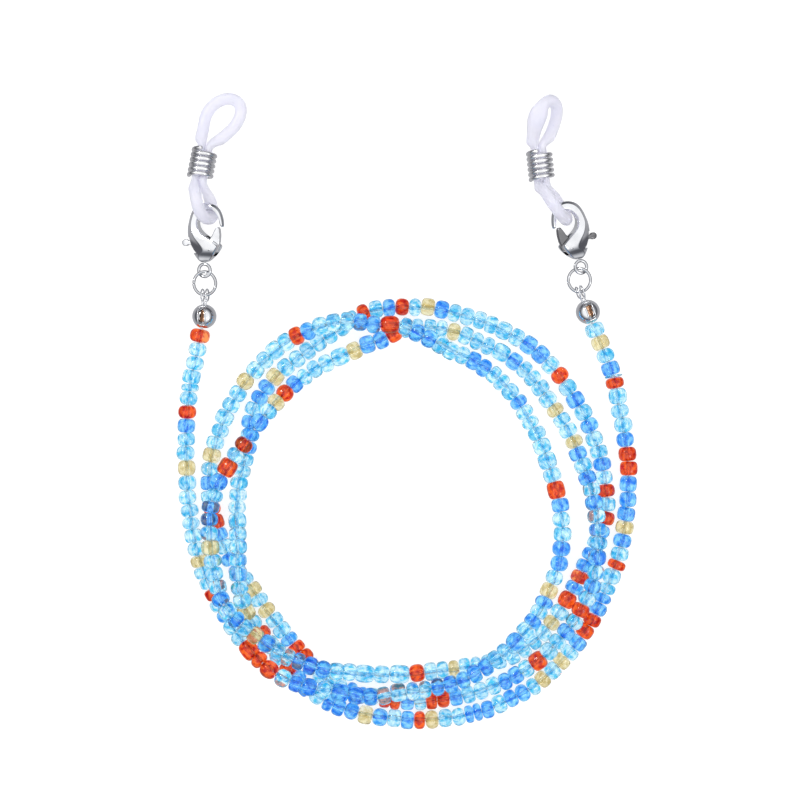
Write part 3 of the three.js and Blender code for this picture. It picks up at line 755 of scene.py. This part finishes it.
def add_bead_tip(end):
    """A hollow ball, open below for the strand and slotted on top, with two prongs."""
    side = end["side"]
    place = placed(end["tip"])
    name = f"{side}_bead_tip"
    turns = [math.radians(TIP_OPEN_BELOW + i * TIP_ARC / TIP_STEPS) for i in range(TIP_STEPS + 1)]
    back = [math.radians(TIP_OPEN_BELOW + TIP_ARC - i * TIP_ARC / TIP_STEPS)
            for i in range(TIP_STEPS + 1)]
    inner_r = TIP_R - TIP_WALL
    profile = [(TIP_R * math.cos(a), TIP_R * math.sin(a)) for a in turns]
    profile += [(inner_r * math.cos(a), inner_r * math.sin(a)) for a in back]
    cup = build(f"{side}_clamshell_tip", moved(lathe(profile, 64), place), METAL, name)
    path = slot_outline()
    cut_away(cup, prism(path, SLOT_FLOOR, SLOT_CEILING), LAID @ place)
    rim = tube([dome_point(TIP_R - RIM_SUNK, x * 1.12, y * 1.03) for x, y in path], RIM_WIRE_R, 8,
               closed=True)
    neck = tube([(0, 1.55, 0), (0, 1.8, 0.02), (0, 2.0, 0.05)], 0.42, 14, squash=0.6)
    prongs = [tip_prong(-PRONG_X), tip_prong(PRONG_X)]
    build(f"{side}_tip_prongs", moved(merged([rim, neck] + prongs), place), METAL, name)


def add_crimp(side):
    """A soft metal crimp bead pinched in the middle."""
    shape = lathe(CRIMP_PROFILE, 24, lambda a, y: 1 - 0.1 * math.cos(2 * a) * (1 - abs(y)))
    place = along_strand(from_end(side, CRIMP_AT))
    build(f"{side}_pinched_crimp", moved(shape, place), COPPER, f"{side}_crimp_bead")


# ---- Jump ring ----

def add_jump_ring(end):
    """A ring of wire with a small gap, its two ends a little out of line."""
    side = end["side"]
    points = []
    for i in range(RING_STEPS + 1):
        a = RING_SPLIT_AT + (2 * math.pi - RING_GAP) * i / RING_STEPS
        lift = RING_LIFT * (i / RING_STEPS - 0.5)
        points.append((RING_R * math.cos(a), RING_R * math.sin(a), lift))
    build(f"{side}_split_ring", moved(tube(points, RING_WIRE_R, 16), placed(end["ring"])),
          RING_WIRE, f"{side}_jump_ring")


# ---- Lobster clasp ----

# Pairs across the casting, from the cast loop up the back and round the hook: inner point, outer
# point, half depth, and where the flat facet starts and ends between them.
CASTING = [
    ((-0.75, 1.3), (0.46, 1.25), 0.45, 0.12, 0.85),
    ((-1.3, 1.65), (1.1, 1.8), 0.6, 0.10, 0.85),
    ((-1.9, 2.15), (1.5, 2.45), 0.76, 0.08, 0.8),
    ((-2.45, 2.85), (1.85, 3.2), 1.3, 0.10, 0.44),
    ((-2.85, 3.55), (2.15, 4.05), 1.45, 0.05, 0.52),
    ((-2.93, 3.95), (2.33, 4.75), 1.45, 0.05, 0.60),
    ((-2.1, 4.5), (2.45, 5.4), 1.4, 0.05, 0.64),
    ((-1.28, 5.13), (2.5, 6.0), 1.3, 0.06, 0.66),
    ((-0.3, 5.78), (2.48, 6.75), 1.15, 0.08, 0.66),
    ((0.35, 6.45), (2.38, 7.35), 1.02, 0.10, 0.64),
    ((0.66, 7.3), (2.22, 7.95), 0.92, 0.12, 0.62),
    ((0.62, 7.95), (2.02, 8.65), 0.82, 0.14, 0.60),
    ((0.38, 8.52), (1.7, 9.45), 0.74, 0.16, 0.62),
    ((-0.1, 9.1), (1.15, 10.2), 0.66, 0.20, 0.64),
    ((-0.65, 9.42), (0.3, 10.65), 0.6, 0.22, 0.66),
    ((-1.28, 9.58), (-0.6, 10.85), 0.57, 0.22, 0.68),
    ((-1.9, 9.45), (-1.6, 10.75), 0.55, 0.22, 0.68),
    ((-2.4, 9.1), (-2.55, 10.3), 0.54, 0.22, 0.68),
    ((-2.8, 8.55), (-3.25, 9.6), 0.53, 0.24, 0.68),
    ((-3.0, 7.95), (-3.62, 8.6), 0.52, 0.26, 0.68),
    ((-3.12, 7.4), (-3.78, 7.6), 0.5, 0.28, 0.66),
    ((-3.2, 6.85), (-3.75, 6.7), 0.42, 0.3, 0.66),
]
LEVER_SLOT = [(-3.7, 5.0), (-3.3, 3.2), (-2.0, 2.2), (0.2, 2.4), (1.3, 2.85), (3.2, 2.85),
              (3.2, 5.4), (0.4, 5.4), (-1.2, 5.6)]
LEVER_OUTLINE = [
    (-2.7, 3.7), (-3.0, 4.6), (-3.1, 5.6), (-3.05, 6.45), (-2.85, 6.85), (-2.5, 6.85),
    (-2.15, 6.3), (-1.75, 5.55), (-1.1, 4.8), (1.2, 4.75), (2.5, 4.85), (2.8, 5.12), (3.2, 5.1),
    (3.5, 4.85), (3.57, 4.55), (3.45, 4.2), (3.15, 4.0), (2.8, 4.02), (2.5, 4.25), (1.2, 3.95),
    (-0.6, 3.0), (-1.5, 2.55), (-2.3, 2.9),
]
RIVET_PROFILE = [(0.4, -1.2), (0.34, -1.3), (0.2, -1.36), (0.01, -1.38), (0.01, 1.38),
                 (0.2, 1.36), (0.34, 1.3), (0.4, 1.2)]


def casting_shape():
    """The hook and body: a section with a flat facet, carried through the pairs of CASTING."""
    verts, faces = [], []
    for (ix, iy), (ox, oy), half, low, high in CASTING:
        inner, outer = Vector((ix, iy, 0)), Vector((ox, oy, 0))
        upper = [(0.0, 0.0), (0.0, 0.72), (low * 0.4, 0.93), (low, 0.99), (low + 0.03, 1.0),
                 (high - 0.02, 1.0), (high + 0.01, 0.99), (high * 0.5 + 0.5, 0.66),
                 (0.95, 0.42), (1.0, 0.3), (1.0, 0.0)]
        section = upper + [(u, -z) for u, z in reversed(upper[1:-1])]
        for u, z in section:
            verts.append(inner.lerp(outer, u) + Vector((0, 0, z * half)))
    sides, rows = len(section), len(CASTING)
    for i in range(rows - 1):
        for j in range(sides):
            k = (j + 1) % sides
            faces.append((i * sides + j, (i + 1) * sides + j, (i + 1) * sides + k, i * sides + k))
    faces.append(tuple(range(sides)))
    faces.append(tuple(reversed([(rows - 1) * sides + j for j in range(sides)])))
    return verts, faces, None


def add_clasp(end):
    side, spine = end["side"], end["spine"]
    place = placed(end["clasp"]) @ Matrix.Diagonal((spine, 1, 1, 1))
    node = f"{side}_clasp_body"
    body = build(f"{side}_cast_hook", moved(outward(casting_shape()), place), METAL, node)
    body.modifiers.new("smooth", "SUBSURF").levels = 2
    cut_away(body, outward(prism(LEVER_SLOT, -LEVER_SLOT_HALF, LEVER_SLOT_HALF)), LAID @ place)
    loop = [(CAST_LOOP_R * math.cos(a), CAST_LOOP_R * math.sin(a), 0)
            for a in (2 * math.pi * i / 48 for i in range(48))]
    build(f"{side}_cast_loop", moved(tube(loop, CAST_LOOP_WIRE_R, 14, closed=True), place),
          RING_WIRE, node)

    plate = outward(prism(LEVER_OUTLINE, -LEVER_HALF, LEVER_HALF))
    # The right lever takes the dark copy of the plated metal, which is painted shade.
    lever = build(f"{side}_thumb_lever", moved(plate, place), METAL if side == "left" else SHADED_GATE_METAL,
                  f"{side}_clasp_lever")
    round_over = lever.modifiers.new("edges", "BEVEL")
    round_over.width, round_over.segments = LEVER_ROUNDING * MM, 3
    apply_modifiers(lever)

    upright = Matrix.Rotation(math.pi / 2, 4, "X")
    at_rivet = Matrix.Translation((*PIVOT, 0)) @ upright
    build(f"{side}_rivet", moved(outward(lathe(RIVET_PROFILE, 24)), place @ at_rivet), STEEL,
          f"{side}_clasp_rivet")
    spring = []
    for i in range(41):
        a = 2 * math.pi * SPRING_ARC * i / 40
        rise = SPRING_RISE * (i / 40 - 0.5)
        spring.append((SPRING_R * math.cos(a), rise, -SPRING_R * math.sin(a)))
    at_spring = Matrix.Translation((*PIVOT, SPRING_LIFT)) @ upright
    build(f"{side}_gate_spring", moved(tube(spring, SPRING_WIRE_R, 8), place @ at_spring), STEEL,
          f"{side}_clasp_spring")


# ---- Silicone temple loop and grip coil ----

def smooth_step(value, low, high):
    """0 below low, 1 above high, and an even rise between them."""
    t = min(max((value - low) / (high - low), 0.0), 1.0)
    return t * t * (3 - 2 * t)


def flatten(verts, points, inverse, amount):
    """Widens the eye's first arm in plan, where it lies turned on its flat side."""
    sides = len(verts) // len(points)
    for i, centre in enumerate(points):
        local = inverse @ centre
        first_arm = 1 - smooth_step(local.x, -0.2, 1.8)
        wide = 1 + amount * first_arm * math.exp(-((local.y - FLAT_AT) / FLAT_REACH) ** 2)
        for v in verts[i * sides:(i + 1) * sides]:
            v.x = centre.x + (v.x - centre.x) * wide


def add_silicone(end):
    """One cord through eye, neck, tail and neck again, with the two arms squeezed in the neck."""
    side = end["side"]
    neck = placed(end["grip"])
    rise = [-NECK_HALF, -NECK_HALF / 2, 0, NECK_HALF / 2, NECK_HALF]
    keys = [neck @ Vector((-ARM_OFFSET, y, 0)) for y in rise] + end["eye"]
    keys += [neck @ Vector((ARM_OFFSET, -y, 0)) for y in rise] + end["tail"]
    route = Route(catmull(keys, closed=True) + [Vector(keys[0])])
    points = [route.point(route.length * i / LOOP_STEPS) for i in range(LOOP_STEPS)]
    verts, faces, _ = tube(points, CORD_R, LOOP_SIDES, closed=True)
    inverse = neck.inverted()
    flatten(verts, points, inverse, end["flattened"])
    squeezed = []
    for v in verts:
        local = inverse @ v
        fade = NECK_FADE_ABOVE if local.y > 0 else NECK_FADE_BELOW
        share = 1 - smooth_step(abs(local.y) - NECK_HALF, -NECK_INSET, fade - NECK_INSET)
        local.x *= 1 - share * (1 - NECK_SQUEEZE)
        local.z *= 1 + share * (NECK_SWELL - 1)
        squeezed.append(neck @ local)
    build(f"{side}_temple_loop", (squeezed, faces, None), SILICONE, f"{side}_silicone_loop")


def add_grip_coil(end):
    side = end["side"]
    points = []
    count = int(GRIP_TURNS * GRIP_STEPS_PER_TURN)
    for i in range(count + 1):
        a = math.pi + GRIP_TURNS * 2 * math.pi * i / count
        y = (i / count - 0.5) * GRIP_TURNS * GRIP_PITCH
        points.append((GRIP_R * math.cos(a), y, -GRIP_R * math.sin(a)))
    build(f"{side}_wire_coil", moved(tube(points, GRIP_WIRE_R, 14), placed(end["grip"])),
          COIL_WIRE, f"{side}_grip_coil")


# ---- Floor and light, in metres ----

FLOOR_HALF, FLOOR_DROP = 1.5, 0.00002
# The studio's brightness from straight below (0) to straight above (1).
STUDIO = [
    (0.0, (0.5, 0.5, 0.52)), (0.38, (0.36, 0.36, 0.38)), (0.46, (0.11, 0.11, 0.125)),
    (0.6, (0.11, 0.115, 0.13)), (0.7, (0.42, 0.43, 0.46)), (0.82, (1.08, 1.08, 1.09)),
]


def add_floor():
    """A plain floor which shiny pieces do not mirror."""
    h = FLOOR_HALF
    mesh = bpy.data.meshes.new("floor")
    mesh.from_pydata([(-h, -h, 0), (h, -h, 0), (h, h, 0), (-h, h, 0)], [], [(0, 1, 2, 3)])
    mesh.materials.append(floor_finish())
    floor = linked("floor", mesh)
    floor.location.z = -FLOOR_DROP
    floor.visible_glossy = False


def add_light(name, at, size, power):
    data = bpy.data.lights.new(name, "AREA")
    data.shape = "DISK"
    data.size = size
    data.energy = power
    light = linked(name, data)
    light.location = at
    light.rotation_euler = (-Vector(at)).to_track_quat("-Z", "Y").to_euler()


def add_world():
    """A soft studio: bright overhead, a dark band round the horizon, and grey below."""
    world = bpy.data.worlds.new("studio")
    bpy.context.scene.world = world
    world.use_nodes = True
    tree = world.node_tree
    nodes, links = tree.nodes, tree.links
    where = nodes.new("ShaderNodeTexCoord")
    split = nodes.new("ShaderNodeSeparateXYZ")
    links.new(where.outputs["Generated"], split.inputs["Vector"])
    height = nodes.new("ShaderNodeMapRange")
    height.inputs["From Min"].default_value = -1.0
    links.new(split.outputs["Z"], height.inputs["Value"])
    ramp = nodes.new("ShaderNodeValToRGB")
    links.new(height.outputs["Result"], ramp.inputs["Fac"])
    set_stops(ramp.color_ramp, STUDIO)
    background = nodes["Background"]
    links.new(ramp.outputs["Color"], background.inputs["Color"])
    background.inputs["Strength"].default_value = 1.0


add_camera()
add_thread()
add_beads()
for end in ENDS:
    add_end_beads(end["side"])
    add_bead_tip(end)
    add_crimp(end["side"])
    add_jump_ring(end)
    add_clasp(end)
    add_silicone(end)
    add_grip_coil(end)
add_floor()
add_world()
add_light("key", (-0.18, 0.14, 0.22), 0.05, 0.16)
add_light("fill", (0.2, -0.1, 0.25), 0.12, 0.1)
bpy.context.scene.view_settings.view_transform = "Standard"
